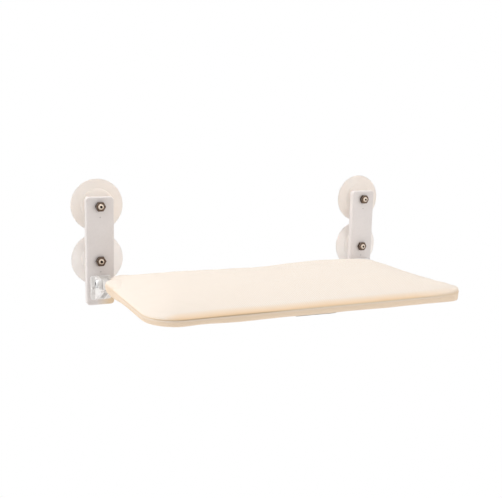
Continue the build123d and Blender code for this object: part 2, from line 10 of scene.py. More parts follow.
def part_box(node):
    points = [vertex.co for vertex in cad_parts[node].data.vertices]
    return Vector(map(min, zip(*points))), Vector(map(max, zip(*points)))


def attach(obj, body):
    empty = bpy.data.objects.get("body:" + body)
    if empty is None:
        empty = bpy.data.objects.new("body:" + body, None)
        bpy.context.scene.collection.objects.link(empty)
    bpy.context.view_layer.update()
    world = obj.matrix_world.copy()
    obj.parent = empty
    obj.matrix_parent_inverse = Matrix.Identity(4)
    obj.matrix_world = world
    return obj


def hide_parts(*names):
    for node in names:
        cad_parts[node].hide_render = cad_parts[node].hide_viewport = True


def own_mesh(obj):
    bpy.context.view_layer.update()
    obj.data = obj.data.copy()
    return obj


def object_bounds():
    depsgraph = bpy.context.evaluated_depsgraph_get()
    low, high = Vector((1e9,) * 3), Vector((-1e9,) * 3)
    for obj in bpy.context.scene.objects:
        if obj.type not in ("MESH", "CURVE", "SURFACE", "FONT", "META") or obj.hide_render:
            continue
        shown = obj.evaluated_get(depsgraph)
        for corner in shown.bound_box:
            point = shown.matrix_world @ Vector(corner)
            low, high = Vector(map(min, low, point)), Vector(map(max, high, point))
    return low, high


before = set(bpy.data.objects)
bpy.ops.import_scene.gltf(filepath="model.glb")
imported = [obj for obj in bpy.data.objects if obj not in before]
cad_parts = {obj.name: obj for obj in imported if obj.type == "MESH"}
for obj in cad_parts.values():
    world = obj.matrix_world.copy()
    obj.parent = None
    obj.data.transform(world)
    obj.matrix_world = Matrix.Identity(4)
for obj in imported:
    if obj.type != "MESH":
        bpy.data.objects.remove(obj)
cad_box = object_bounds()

# Looks of a window mounted cat perch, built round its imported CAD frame.
# Metres, in the frame of the part: +Z up, +Y into the window, +X to the right.

scene = bpy.context.scene
SIDES = ("left", "right")
LEVELS = ("upper", "lower")
UP = Vector((0, 0, 1))


def centre_of(node):
    """Middle of a CAD node's box."""
    low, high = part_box(node)
    return (low + high) / 2


def level_of(node, axis):
    """Middle of a CAD node's box along one axis."""
    low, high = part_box(node)
    return (low[axis] + high[axis]) / 2


# Sizes of the bed, from the CAD boxes of its cover, its seam and a hinge pin

under_low, under_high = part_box("cover_underside_panel")
BED_HALF_WIDTH = under_high.x
BED_REAR_Y = under_high.y
BED_FRONT_Y = under_low.y
MIDDLE_Z = level_of("front_tube", 2)
BED_CROWN = 0.0085
EDGE_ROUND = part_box("cover_top_panel")[1].z - MIDDLE_Z - BED_CROWN
SEAM_LEVEL = level_of("cover_seam", 2) - MIDDLE_Z
PLATE_FACE_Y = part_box("left_mount_plate")[0].y

# The cover's outline, which the cloth stretches a little past the CAD panels
COVER_LEFT_X = -BED_HALF_WIDTH + 0.0008
COVER_RIGHT_X = BED_HALF_WIDTH + 0.0026

# Cut-outs of the cover at the hinges
PIN_Y = level_of("right_hinge_pin", 1)
NOTCH_SIDE_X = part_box("right_hinge_pin")[0].x - 0.0011
NOTCH_FRONT_Y = PIN_Y - 0.0265


def configure(thing, **settings):
    """Set some attributes of a thing, and give it back."""
    for name, value in settings.items():
        setattr(thing, name, value)
    return thing


# Node graphs


def feed(tree, socket, source):
    """Link an input to another socket, or set it to a value."""
    if isinstance(source, bpy.types.NodeSocket):
        tree.links.new(source, socket)
    else:
        socket.default_value = source


def place(tree, kind, inputs=None, **settings):
    """Add a shader node with its settings, and link or set its inputs."""
    made = configure(tree.nodes.new(kind), **settings)
    for socket, source in (inputs or {}).items():
        feed(tree, made.inputs[socket], source)
    return made


def maths(tree, operation, first, *others):
    """Result of a Math node, or of a chain of them where there are more than two values."""
    if not others:
        return place(tree, "ShaderNodeMath", {0: first}, operation=operation).outputs[0]
    for other in others:
        inputs = {0: first, 1: other}
        first = place(tree, "ShaderNodeMath", inputs, operation=operation).outputs[0]
    return first


def product(tree, *values):
    """Product of two or more values."""
    return maths(tree, "MULTIPLY", *values)


def vector_maths(tree, operation, inputs):
    """Outputs of a Vector Math node."""
    return place(tree, "ShaderNodeVectorMath", inputs, operation=operation).outputs


def spread(tree, value, low, high, new_low=0.0, new_high=1.0):
    """Remap a value from one range to another, without going past its ends."""
    inputs = {
        "Value": value, "From Min": low, "From Max": high, "To Min": new_low, "To Max": new_high
    }
    return place(tree, "ShaderNodeMapRange", inputs, clamp=True).outputs["Result"]


def between(tree, mask, low, high):
    """Value that goes from low to high as a mask goes from 0 to 1."""
    return spread(tree, mask, 0.0, 1.0, low, high)


def blend(tree, share, first, second):
    """Mix two colours by a share."""
    mixed = place(tree, "ShaderNodeMix", data_type="RGBA")
    for index, source in ((0, share), (6, first), (7, second)):
        feed(tree, mixed.inputs[index], source)
    return mixed.outputs[2]


def tint(tree, base, mask, strength, colour):
    """Lay a colour over a base where a mask shows, at less than full strength."""
    return blend(tree, product(tree, mask, strength), base, colour)


def object_point(tree):
    """Place on a piece, in the part's frame."""
    return place(tree, "ShaderNodeTexCoord").outputs["Object"]


def axes_of(tree, vector):
    """X, Y and Z of a vector."""
    return place(tree, "ShaderNodeSeparateXYZ", {0: vector}).outputs


def noise_at(tree, point, scale, detail=3.0, roughness=0.5):
    """Value of a noise texture at a point."""
    inputs = {"Vector": point, "Scale": scale, "Detail": detail, "Roughness": roughness}
    return place(tree, "ShaderNodeTexNoise", inputs).outputs["Fac"]


def cells_at(tree, point, scale, randomness=1.0):
    """Distance to the middle of the nearest cell at a point."""
    inputs = {"Vector": point, "Scale": scale, "Randomness": randomness}
    return place(tree, "ShaderNodeTexVoronoi", inputs).outputs["Distance"]


def new_group(name, inputs, outputs=("Mask",)):
    """Empty shader node group, given its inputs' first values and the names of its outputs."""
    group = bpy.data.node_groups.new(name, "ShaderNodeTree")
    for title, value in inputs.items():
        kind = "NodeSocketVector" if isinstance(value, tuple) else "NodeSocketFloat"
        socket = group.interface.new_socket(title, in_out="INPUT", socket_type=kind)
        socket.default_value = value
    for title in outputs:
        group.interface.new_socket(title, in_out="OUTPUT", socket_type="NodeSocketFloat")
    given = group.nodes.new("NodeGroupInput").outputs
    return group, given, group.nodes.new("NodeGroupOutput").inputs


def weave_group():
    """Open mesh cloth on the plane that a surface faces: small cells between crossing threads."""
    group, given, result = new_group(
        "mesh_cloth", {"Pitch": 0.0024, "Wander": 0.0004}, ("Height", "Thread")
    )
    drift_scale, plane_sharpness, net_power = 28.0, 4.0, 1.6
    strands_per_cell, strand_height = 4.0, 0.12
    spot = place(group, "ShaderNodeTexCoord").outputs
    drift_inputs = {"Vector": spot["Object"], "Scale": drift_scale, "Detail": 2.0}
    drift = place(group, "ShaderNodeTexNoise", drift_inputs).outputs["Color"]
    wander = vector_maths(group, "SCALE", {0: drift, "Scale": given["Wander"]})[0]
    at = axes_of(group, vector_maths(group, "ADD", {0: spot["Object"], 1: wander})[0])
    facing = axes_of(group, spot["Normal"])
    turn = maths(group, "DIVIDE", math.pi, given["Pitch"])
    upright = [
        maths(group, "POWER", maths(group, "ABSOLUTE", facing[axis]), plane_sharpness)
        for axis in range(3)
    ]
    total = maths(group, "ADD", *upright)
    heights, threads = [], []
    for axis, (along, across) in enumerate(((1, 2), (0, 2), (0, 1))):
        ridges = []
        for operation in ("ADD", "SUBTRACT"):
            slanted = maths(group, operation, at[along], at[across])
            waves = maths(group, "SINE", product(group, slanted, turn))
            ridges.append(maths(group, "ABSOLUTE", waves))
        net = maths(group, "SUBTRACT", 1.0, product(group, *ridges))
        fine_turn = product(group, at[along], turn, strands_per_cell)
        strand = product(group, maths(group, "SINE", fine_turn), strand_height)
        raised = maths(group, "ADD", maths(group, "POWER", net, net_power), strand)
        share = maths(group, "DIVIDE", upright[axis], total)
        heights.append(product(group, raised, share))
        threads.append(product(group, net, share))
    group.links.new(maths(group, "ADD", *heights), result["Height"])
    group.links.new(maths(group, "ADD", *threads), result["Thread"])
    return group


def shade_group():
    """Slow change of shade over a surface, with a finer one on top."""
    group, given, result = new_group(
        "uneven_shade", {"Broad": 12.0, "Fine": 160.0, "Fine Share": 0.35}
    )
    spot = object_point(group)
    broad = noise_at(group, spot, given["Broad"])
    fine = noise_at(group, spot, given["Fine"], 4.0, 0.6)
    rest = maths(group, "SUBTRACT", 1.0, given["Fine Share"])
    broad_part = product(group, broad, rest)
    mixed = maths(group, "ADD", broad_part, product(group, fine, given["Fine Share"]))
    group.links.new(spread(group, mixed, 0.3, 0.7), result["Mask"])
    return group


def edge_group():
    """Mask that is 1 on the outer edges of a piece, broken up by noise, for wear, and on a wide rim
    for a painted highlight.
    """
    group, given, result = new_group("edge_wear_and_highlight", {"Width": 0.0008, "Break Up": 220.0})
    rounded = place(group, "ShaderNodeBevel", {"Radius": given["Width"]}, samples=4).outputs[0]
    true_normal = place(group, "ShaderNodeNewGeometry").outputs["Normal"]
    aligned = vector_maths(group, "DOT_PRODUCT", {0: rounded, 1: true_normal})["Value"]
    turned = maths(group, "SUBTRACT", 1.0, aligned)
    broken = noise_at(group, object_point(group), given["Break Up"], 4.0, 0.7)
    masks = spread(group, turned, 0.01, 0.12), spread(group, broken, 0.35, 0.6)
    group.links.new(product(group, *masks), result["Mask"])
    return group


def hollow_group():
    """Mask that is 1 deep in a piece's own hollows, where shade is painted."""
    group, given, result = new_group("shaded_hollows", {"Reach": 0.002})
    inputs = {"Distance": given["Reach"]}
    open_sky = place(group, "ShaderNodeAmbientOcclusion", inputs, samples=8, only_local=True)
    group.links.new(spread(group, open_sky.outputs["AO"], 0.35, 0.9, 1.0, 0.0), result["Mask"])
    return group


def grain_group():
    """Fine moulded or sprayed grain as a height, with a mask for its roughness."""
    group, given, result = new_group(
        "fine_grain", {"Scale": 900.0, "Flow": 60.0}, ("Height", "Mask")
    )
    spot = object_point(group)
    cells = cells_at(group, spot, given["Scale"])
    flow = noise_at(group, spot, given["Flow"], 2.0)
    halves = [product(group, value, 0.5) for value in (cells, flow)]
    group.links.new(maths(group, "ADD", *halves), result["Height"])
    group.links.new(spread(group, flow, 0.3, 0.7), result["Mask"])
    return group


def mark_group():
    """Fine tool marks that run round or along a metal piece."""
    group, given, result = new_group(
        "tool_marks", {"Stretch": (900.0, 30.0, 900.0)}, ("Height", "Mask")
    )
    drawn = vector_maths(group, "MULTIPLY", {0: object_point(group), 1: given["Stretch"]})[0]
    marks = noise_at(group, drawn, 1.0, 3.0, 0.6)
    group.links.new(marks, result["Height"])
    group.links.new(spread(group, marks, 0.35, 0.65), result["Mask"])
    return group


MESH_CLOTH = weave_group()
UNEVEN_SHADE = shade_group()
EDGE_WEAR_AND_HIGHLIGHT = edge_group()
SHADED_HOLLOWS = hollow_group()
FINE_GRAIN = grain_group()
TOOL_MARKS = mark_group()


def use_group(tree, group, **values):
    """Place a node group; an underscore in a value's name stands for a space."""
    made = place(tree, "ShaderNodeGroup", node_tree=group)
    for name, value in values.items():
        made.inputs[name.replace("_", " ")].default_value = value
    return made.outputs


def shader_inputs(material):
    """Sockets of a material's Principled shader."""
    return material.node_tree.nodes["Principled BSDF"].inputs


def new_material(name, **constants):
    """Material with one Principled shader, whose constants are set on its own sockets."""
    material = bpy.data.materials.new(name)
    material.use_nodes = True
    for socket, value in constants.items():
        shader_inputs(material)[socket.replace("_", " ")].default_value = value
    return material, material.node_tree


def dressed(material, colour, roughness, height, strength, distance):
    """Material, once a colour, a roughness and the bump of a height reach its shader."""
    tree = material.node_tree
    inputs = {"Height": height, "Strength": strength, "Distance": distance}
    relief = place(tree, "ShaderNodeBump", inputs).outputs["Normal"]
    for socket, source in (("Base Color", colour), ("Roughness", roughness), ("Normal", relief)):
        tree.links.new(source, shader_inputs(material)[socket])
    return material


def srgb(*levels):
    """Linear colour of a paint sample given as screen values from 0 to 255, all above 10."""
    return (*(((level / 255 + 0.055) / 1.055) ** 2.4 for level in levels), 1.0)


# Materials: heights of bumps and reaches of masks in metres, scales in cells per metre

FRONT_ROLL = 0.0125
CREAM_HOLE, CREAM_THREAD = srgb(230, 210, 188), srgb(254, 247, 239)
CREAM_SHADE, CREAM_PAINTED_SHADE = srgb(250, 236, 221), srgb(245, 212, 171)


def cover_material():
    """Cream mesh cloth of the bed's cover, with shade painted in tan where it tilts away from
    facing up and where it rolls over the front edge.
    """
    material, tree = new_material(
        "cream_mesh_cloth", Specular_IOR_Level=0.25, Sheen_Weight=0.25, Sheen_Roughness=0.5
    )
    weave = use_group(tree, MESH_CLOTH, Pitch=0.0028, Wander=0.0005)
    shade = use_group(tree, UNEVEN_SHADE, Broad=9.0, Fine=240.0, Fine_Share=0.4)["Mask"]
    threads = spread(tree, weave["Thread"], 0.15, 0.75)
    flat = tint(tree, blend(tree, threads, CREAM_HOLE, CREAM_THREAD), shade, 0.25, CREAM_SHADE)
    spot = place(tree, "ShaderNodeTexCoord").outputs
    upward = axes_of(tree, spot["Normal"])[2]
    at = axes_of(tree, spot["Object"])
    # Painted shade: the cloth turns tan where it tilts away from facing up, and where it rolls over
    # the front edge above the seam, less so on the right.
    steep = spread(tree, upward, 0.1, 0.9, 0.55, 0.0)
    rolling = spread(tree, at[1], BED_FRONT_Y + 0.001, BED_FRONT_Y + FRONT_ROLL, 0.95, 0.0)
    above_seam = spread(tree, at[2], MIDDLE_Z + 0.002, MIDDLE_Z + 0.004)
    less_right = spread(tree, at[0], 0.14, 0.2, 1.0, 0.35)
    front = product(tree, rolling, above_seam, less_right)
    colour = blend(tree, maths(tree, "MAXIMUM", steep, front), flat, CREAM_PAINTED_SHADE)
    return dressed(material, colour, between(tree, shade, 0.82, 0.94), weave["Height"], 0.6, 0.0006)


TAN_VALLEY, TAN_RIB = srgb(232, 208, 176), srgb(247, 229, 203)
TAN_WORN, TAN_PAINTED_SHADE = srgb(228, 204, 172), srgb(198, 168, 130)
WELT_RIB_PITCH = 0.0009
SEAM_SHADE_X = -0.13


def welt_material():
    """Tan piping cloth of the seam, its tan partly painted shade of the seam's groove: slanted ribs
    of a bias tape, with more painted shade at the front left.
    """
    material, tree = new_material(
        "tan_piping", Specular_IOR_Level=0.25, Sheen_Weight=0.2
    )
    at = axes_of(tree, object_point(tree))
    along = maths(tree, "ADD", at[0], at[1], product(tree, at[2], 2.0))
    ribs = maths(tree, "SINE", product(tree, along, 2 * math.pi / WELT_RIB_PITCH))
    shade = use_group(tree, UNEVEN_SHADE, Broad=30.0, Fine=400.0)["Mask"]
    ribbed = blend(tree, spread(tree, ribs, -1.0, 1.0), TAN_VALLEY, TAN_RIB)
    worn = tint(tree, ribbed, shade, 0.3, TAN_WORN)
    # Painted shade along the seam at the front left.
    off_seam_shade = maths(tree, "ABSOLUTE", maths(tree, "ADD", at[0], -SEAM_SHADE_X))
    beside = spread(tree, off_seam_shade, 0.05, 0.1, 0.8, 0.0)
    in_front = spread(tree, at[1], -0.26, -0.25, 1.0, 0.0)
    colour = blend(tree, product(tree, beside, in_front), worn, TAN_PAINTED_SHADE)
    return dressed(material, colour, between(tree, shade, 0.8, 0.95), ribs, 0.5, 0.0002)


HOLLOW_PAINTED_SHADE = srgb(84, 78, 74)
PAINTED_WARM_SHADE_COLOUR = srgb(236, 206, 158)


def plastic_material(name, dull, bright, worn, grain_scale, roughness, painted_warm_shade=0.0):
    """Moulded plastic: fine grain, paler worn edges, painted shade in its own hollows, and painted
    warm shade at a low inner corner by the bed's cloth.
    """
    material, tree = new_material(name, Specular_IOR_Level=0.5)
    grain = use_group(tree, FINE_GRAIN, Scale=grain_scale, Flow=45.0)
    shade = use_group(tree, UNEVEN_SHADE, Broad=16.0, Fine=300.0, Fine_Share=0.3)["Mask"]
    edges = use_group(tree, EDGE_WEAR_AND_HIGHLIGHT, Width=0.0007)["Mask"]
    hollow_shade = use_group(tree, SHADED_HOLLOWS, Reach=0.002)["Mask"]
    colour = tint(tree, blend(tree, shade, dull, bright), edges, 0.6, worn)
    # Painted shade: the piece darkens deep in its own hollows.
    colour = tint(tree, colour, hollow_shade, 0.55, HOLLOW_PAINTED_SHADE)
    if painted_warm_shade:
        # Painted warm shade: the plate's low inner corner, in the bed's shade and warmed by light
        # bounced off its cloth.
        at = axes_of(tree, object_point(tree))
        low_end = spread(tree, at[2], -0.094, -0.084, painted_warm_shade, 0.0)
        inner = spread(tree, maths(tree, "ABSOLUTE", at[0]), 0.206, 0.224, 1.0, 0.0)
        face = spread(tree, at[1], PLATE_FACE_Y + 0.0015, PLATE_FACE_Y + 0.0005)
        colour = blend(tree, product(tree, low_end, inner, face), colour, PAINTED_WARM_SHADE_COLOUR)
    polished = product(tree, edges, 0.08)
    rough = maths(tree, "SUBTRACT", between(tree, grain["Mask"], *roughness), polished)
    return dressed(material, colour, rough, grain["Height"], 0.18, 0.0003)


CUP_PAINTED_LOWER_LIGHT = srgb(250, 240, 233), srgb(255, 249, 244)
CUP_PAINTED_UPPER_SHADE = srgb(247, 235, 225), srgb(252, 243, 235)


def cup_material():
    """Clear milky vinyl of the suction cups, the upper pair painted a shade darker and warmer than
    the lower pair.
    """
    material, tree = new_material(
        "milky_vinyl", Transmission_Weight=0.7, IOR=1.4, Specular_IOR_Level=0.4,
        Subsurface_Weight=0.4, Subsurface_Radius=(1.0, 0.85, 0.75), Subsurface_Scale=0.01
    )
    shade = use_group(tree, UNEVEN_SHADE, Broad=22.0, Fine=500.0, Fine_Share=0.25)["Mask"]
    grain = use_group(tree, FINE_GRAIN, Scale=420.0, Flow=30.0)
    # Painted light and shade: the upper pair a shade darker and warmer, the lower pair lighter.
    upper = spread(tree, axes_of(tree, object_point(tree))[2], -0.01, 0.02)
    shades = [blend(tree, shade, *colours) for colours in (CUP_PAINTED_LOWER_LIGHT, CUP_PAINTED_UPPER_SHADE)]
    colour = blend(tree, upper, *shades)
    rough = between(tree, grain["Mask"], 0.28, 0.42)
    return dressed(material, colour, rough, grain["Height"], 0.1, 0.0003)


RUBBED_METAL_AND_HIGHLIGHT = srgb(240, 240, 238)
METAL_HOLLOW_SHADE = srgb(52, 42, 34)
TURNED_ABOUT_Y = (700.0, 40.0, 700.0)
TURNED_ABOUT_X = (40.0, 800.0, 800.0)


def metal_material(name, dull, bright, roughness, stretch=TURNED_ABOUT_Y, rim=0.0004):
    """Bare or plated metal with tool marks, brighter rubbed edges, which on the blacked nut also
    paint a highlight round its chamfers, and painted shade in its hollows.
    """
    material, tree = new_material(name, Metallic=1.0)
    marks = use_group(tree, TOOL_MARKS, Stretch=stretch)
    shade = use_group(tree, UNEVEN_SHADE, Broad=120.0, Fine=900.0)["Mask"]
    edges = use_group(tree, EDGE_WEAR_AND_HIGHLIGHT, Width=rim, Break_Up=500.0)["Mask"]
    hollow_shade = use_group(tree, SHADED_HOLLOWS, Reach=0.004)["Mask"]
    rubbed = tint(tree, blend(tree, shade, dull, bright), edges, 0.5, RUBBED_METAL_AND_HIGHLIGHT)
    # Painted shade deep in the piece's hollows.
    colour = blend(tree, hollow_shade, rubbed, METAL_HOLLOW_SHADE)
    rough = between(tree, marks["Mask"], *roughness)
    return dressed(material, colour, rough, marks["Height"], 0.15, 0.0001)


def paint_material():
    """White powder coat of the hinge brackets, rubbed through a little on the edges."""
    material, tree = new_material(
        "white_powder_coat", Coat_Weight=0.15, Coat_Roughness=0.3
    )
    grain = use_group(tree, FINE_GRAIN, Scale=1500.0, Flow=240.0)
    shade = use_group(tree, UNEVEN_SHADE, Broad=60.0, Fine=500.0)["Mask"]
    edges = use_group(tree, EDGE_WEAR_AND_HIGHLIGHT, Width=0.0005, Break_Up=300.0)["Mask"]
    whites = blend(tree, shade, srgb(236, 233, 230), srgb(247, 245, 243))
    colour = tint(tree, whites, edges, 0.35, srgb(200, 200, 202))
    rough = between(tree, grain["Mask"], 0.36, 0.5)
    return dressed(material, colour, rough, grain["Height"], 0.22, 0.0002)


def foam_material():
    """Open cell foam of the pad."""
    material, tree = new_material("pad_foam", Specular_IOR_Level=0.2)
    cells = cells_at(tree, object_point(tree), 700.0)
    walls = spread(tree, cells, 0.0, 0.6)
    colour = blend(tree, walls, srgb(205, 196, 168), srgb(238, 232, 210))
    return dressed(material, colour, spread(tree, cells, 0.0, 0.6, 0.98, 0.9), cells, 0.7, 0.0006)


def closure_material():
    """Dark hook and loop tape, with rows of small hooks."""
    material, tree = new_material("hook_tape", Specular_IOR_Level=0.3, Sheen_Weight=0.1)
    cells = cells_at(tree, object_point(tree), 1400.0, 0.35)
    shade = use_group(tree, UNEVEN_SHADE, Broad=50.0, Fine=400.0)["Mask"]
    hooks = spread(tree, cells, 0.1, 0.6)
    browns = blend(tree, hooks, srgb(150, 128, 100), srgb(92, 76, 58))
    colour = tint(tree, browns, shade, 0.3, srgb(128, 108, 84))
    return dressed(material, colour, between(tree, shade, 0.75, 0.9), cells, 0.8, 0.0004)


CLOTH = cover_material()
WELT = welt_material()
PLATE = plastic_material(
    "warm_grey_plate", srgb(225, 218, 215), srgb(236, 230, 228), srgb(246, 242, 240),
    1100.0, (0.38, 0.5), painted_warm_shade=0.7
)
CORNER = plastic_material(
    "corner_plastic", srgb(206, 202, 198), srgb(222, 219, 216), srgb(238, 236, 234),
    1200.0, (0.4, 0.55)
)
TUBE = plastic_material(
    "tube_enamel", srgb(226, 224, 220), srgb(240, 239, 236), srgb(196, 196, 196),
    1600.0, (0.3, 0.42)
)
VINYL = cup_material()
ZINC = metal_material("zinc_plate", srgb(120, 112, 100), srgb(160, 150, 136), (0.22, 0.38))
STEEL = metal_material(
    "pin_steel", srgb(206, 206, 206), srgb(226, 226, 226), (0.42, 0.58), TURNED_ABOUT_X
)
# The wide rim paints a highlight round the nut's chamfers, over the rubbed edge wear.
BLACKED = metal_material(
    "blacked_nut", srgb(66, 50, 40), srgb(100, 80, 64), (0.3, 0.45), rim=0.0009
)
GILT = metal_material("yellow_zinc", srgb(186, 168, 148), srgb(224, 210, 196), (0.28, 0.4))
PAINT = paint_material()
FOAM = foam_material()
TAPE = closure_material()

# CAD nodes that stay, with their finishes

SIDE_FINISHES = dict(
    mount_plate=PLATE, hinge_bracket=PAINT, hinge_pin=STEEL, pin_clip=STEEL,
    rear_corner=CORNER, front_corner=CORNER, side_tube=TUBE
)
finishes = {f"{side}_{part}": finish for side in SIDES for part, finish in SIDE_FINISHES.items()}
finishes.update(rear_tube=TUBE, front_tube=TUBE, frame_screws=ZINC)
for node, finish in finishes.items():
    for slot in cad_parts[node].material_slots:
        slot.material = finish

# Meshes

SQUARE = ((-1, -1), (1, -1), (1, 1), (-1, 1))


def as_piece(name, shape, material, sharp_degrees=35.0):
    """Object from a bmesh, smooth but for its sharp edges."""
    mesh = bpy.data.meshes.new(name)
    bmesh.ops.recalc_face_normals(shape, faces=shape.faces)
    shape.to_mesh(mesh)
    shape.free()
    mesh.shade_smooth()
    mesh.set_sharp_from_angle(angle=math.radians(sharp_degrees))
    mesh.materials.append(material)
    piece = bpy.data.objects.new(name, mesh)
    scene.collection.objects.link(piece)
    return piece


def seat(piece, body, slot, *nodes):
    """Hang a finished piece on its body and hide the nodes that it stands for; the slot is not
    used.
    """
    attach(piece, body)
    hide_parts(*nodes)


def modify(piece, kind, **settings):
    """Add a modifier with its settings."""
    return configure(piece.modifiers.new(kind.lower(), kind), **settings)


def keep_modifiers(piece):
    """Apply a piece's modifiers to its mesh."""
    bpy.context.view_layer.update()
    evaluated = piece.evaluated_get(bpy.context.evaluated_depsgraph_get())
    mesh = bpy.data.meshes.new_from_object(evaluated)
    piece.modifiers.clear()
    piece.data = mesh


def cut(piece, cutter_shape):
    """Subtract a cutter from a piece and keep the result."""
    cutter = as_piece("cutter", cutter_shape, ZINC)
    modify(
        piece, "BOOLEAN", operation="DIFFERENCE", solver="EXACT", use_self=True, object=cutter
    )
    keep_modifiers(piece)
    bpy.data.objects.remove(cutter)
    piece.data.shade_smooth()
    piece.data.set_sharp_from_angle(angle=math.radians(30))


def skin_rings(shape, rings, joined=False):
    """Quads between rings of equally many points, with flat ends, or joined last to first."""
    rows = [[shape.verts.new(point) for point in ring] for ring in rings]
    next_rows = rows[1:] + rows[:1] if joined else rows[1:]
    for lower, upper in zip(rows, next_rows):
        for i, vertex in enumerate(lower):
            following = (i + 1) % len(lower)
            shape.faces.new((vertex, lower[following], upper[following], upper[i]))
    if not joined:
        shape.faces.new(list(reversed(rows[0])))
        shape.faces.new(rows[-1])


def full_turn(steps):
    """Angles of a full turn in equal steps."""
    return [2 * math.pi * i / steps for i in range(steps)]


def about(centre, turn, radius, height):
    """Place round a line that runs from the glass to the room, at a height from the glass."""
    return Vector((
        centre.x + radius * math.cos(turn), -height, centre.z + radius * math.sin(turn)
    ))


def lathe(profile, centre, steps):
    """Rings of a turned form, whose profile lists height from the glass and radius."""
    return [
        [about(centre, turn, radius, height) for turn in full_turn(steps)]
        for height, radius in profile
    ]


def arc_points(middle, radius, start, end, steps):
    """Pairs of coordinates on an arc, angles in degrees."""
    turns = [math.radians(start + (end - start) * i / steps) for i in range(steps + 1)]
    return [
        (middle[0] + radius * math.cos(turn), middle[1] + radius * math.sin(turn))
        for turn in turns
    ]


# Suction cups: heights from the glass and radii

CUP_STEPS = 96
CUP_LIP = 0.0009
CUP_SEAL = 0.0026
CUP_CAVITY = 0.0032
CUP_CAVITY_RINGS = 8
CUP_CAVITY_START = 0.03
CUP_SKIRT = 0.0042
CUP_SKIRT_RINGS = 12
CUP_RIPPLE = 0.00026
CUP_RIPPLES = 6
CUP_STEP_RADIUS = 0.0236
CUP_STEP = ((0.0, 0.0003), (0.0003, 0.0), (0.0008, -0.0001), (0.0011, -0.0005), (0.0015, -0.004))
CUP_HUB_RADIUS = 0.010
CUP_HUB_ROOT = 0.007
CUP_HUB_FILLET = 0.0025
CUP_HUB_END = ((-0.0008, 0.0), (-0.0002, -0.0003), (0.0, -0.0009), (0.0, -0.0055))


def cup_profile(radius, height):
    """Section of a cup from the middle of its hollow round the lip to the end of its hub."""
    profile = []
    for i in range(CUP_CAVITY_RINGS + 1):
        share = CUP_CAVITY_START + (1 - CUP_CAVITY_START) * i / CUP_CAVITY_RINGS
        profile.append((CUP_CAVITY * (1 - share ** 2), (radius - CUP_SEAL) * share))
    profile += arc_points((CUP_LIP / 2, radius - CUP_LIP / 2), CUP_LIP / 2, 180, 20, 7)
    for i in range(1, CUP_SKIRT_RINGS):
        share = i / CUP_SKIRT_RINGS
        ripple = CUP_RIPPLE * (1 - math.cos(2 * math.pi * share * CUP_RIPPLES)) / 2
        profile.append((
            CUP_LIP + (CUP_SKIRT - CUP_LIP) * share ** 0.9 + ripple,
            radius - (radius - CUP_STEP_RADIUS) * share,
        ))
    profile += [(CUP_SKIRT + up, CUP_STEP_RADIUS + out) for up, out in CUP_STEP]
    root = CUP_HUB_ROOT + CUP_HUB_FILLET, CUP_HUB_RADIUS + CUP_HUB_FILLET
    profile += arc_points(root, CUP_HUB_FILLET, 180, 270, 6)
    return profile + [(height + up, CUP_HUB_RADIUS + out) for up, out in CUP_HUB_END]


for side in SIDES:
    for level in LEVELS:
        node = f"{side}_{level}_suction_cup"
        low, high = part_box(node)
        profile = cup_profile((high.x - low.x) / 2, -low.y)
        shape = bmesh.new()
        skin_rings(shape, lathe(profile, centre_of(node), CUP_STEPS))
        cup = as_piece(f"{side}_{level}_cup", shape, VINYL)
        seat(cup, f"{side}_mount", "cup_rubber", node)

# Studs with a rolled thread and a drilled end, and chamfered nuts

THREAD_PITCH = 0.00125
THREAD_DEPTH = 0.0006
ROWS_PER_TURN = 8
STUD_STEPS = 40
STUD_RADIUS = 0.004
STUD_TAPER = 0.0010
STUD_TAPER_DEPTH = THREAD_DEPTH * 1.2
STUD_HEAD = ((0.0055, 0.0005), (0.0055, 0.0085), (0.0079, 0.0085), (0.0079, 0.0005))
STUD_HEAD_TOP = STUD_HEAD[-1][0]
STUD_HOLLOW = 0.0020
STUD_HOLLOW_DEPTH = 0.0045
NUT_STEPS = 72
NUT_APOTHEM = 0.0065
NUT_BORE = 0.00385
NUT_LOWER_SINK, NUT_UPPER_SINK = 0.0004, 0.0006
NUT_CHAMFER_START = 0.97
NUT_CHAMFER_SLOPE = math.tan(math.radians(30))
SET_BACK = 0.0014


def threaded_rod(shape, centre, start, end):
    """Stud from one height to another with a helical thread and a chamfered, drilled end."""
    rows = int((end - start) / THREAD_PITCH * ROWS_PER_TURN)
    rings = []
    for row in range(rows + 1):
        height = start + (end - start) * row / rows
        taper = min(1.0, (end - height) / STUD_TAPER)
        ring = []
        for i, turn in enumerate(full_turn(STUD_STEPS)):
            phase = (height / THREAD_PITCH - i / STUD_STEPS) % 1.0
            groove = THREAD_DEPTH * abs(2 * phase - 1)
            radius = STUD_RADIUS - groove - (1 - taper) * STUD_TAPER_DEPTH
            ring.append(about(centre, turn, radius, height))
        rings.append(ring)
    hollow = [(end, STUD_HOLLOW), (end - STUD_HOLLOW_DEPTH, STUD_HOLLOW * 0.9)]
    skin_rings(shape, rings + lathe(hollow, centre, STUD_STEPS))


def hexagon_nut(shape, centre, start, end):
    """Nut with a chamfer at both ends and a countersunk bore."""
    inner = NUT_APOTHEM * NUT_CHAMFER_START

    def hexagon_ring(height, way):
        ring = []
        for turn in full_turn(NUT_STEPS):
            radius = NUT_APOTHEM / math.cos((turn % (math.pi / 3)) - math.pi / 6)
            slope = way * (radius - inner) * NUT_CHAMFER_SLOPE
            ring.append(about(centre, turn, radius, height + slope))
        return ring

    lower = lathe(((start, NUT_BORE + NUT_LOWER_SINK), (start, inner)), centre, NUT_STEPS)
    upper = lathe((
        (end, inner), (end, NUT_BORE + NUT_UPPER_SINK),
        (end - NUT_UPPER_SINK, NUT_BORE), (start + NUT_LOWER_SINK, NUT_BORE),
    ), centre, NUT_STEPS)
    rings = [*lower, hexagon_ring(start, 1), hexagon_ring(end, -1), *upper]
    skin_rings(shape, rings, joined=True)


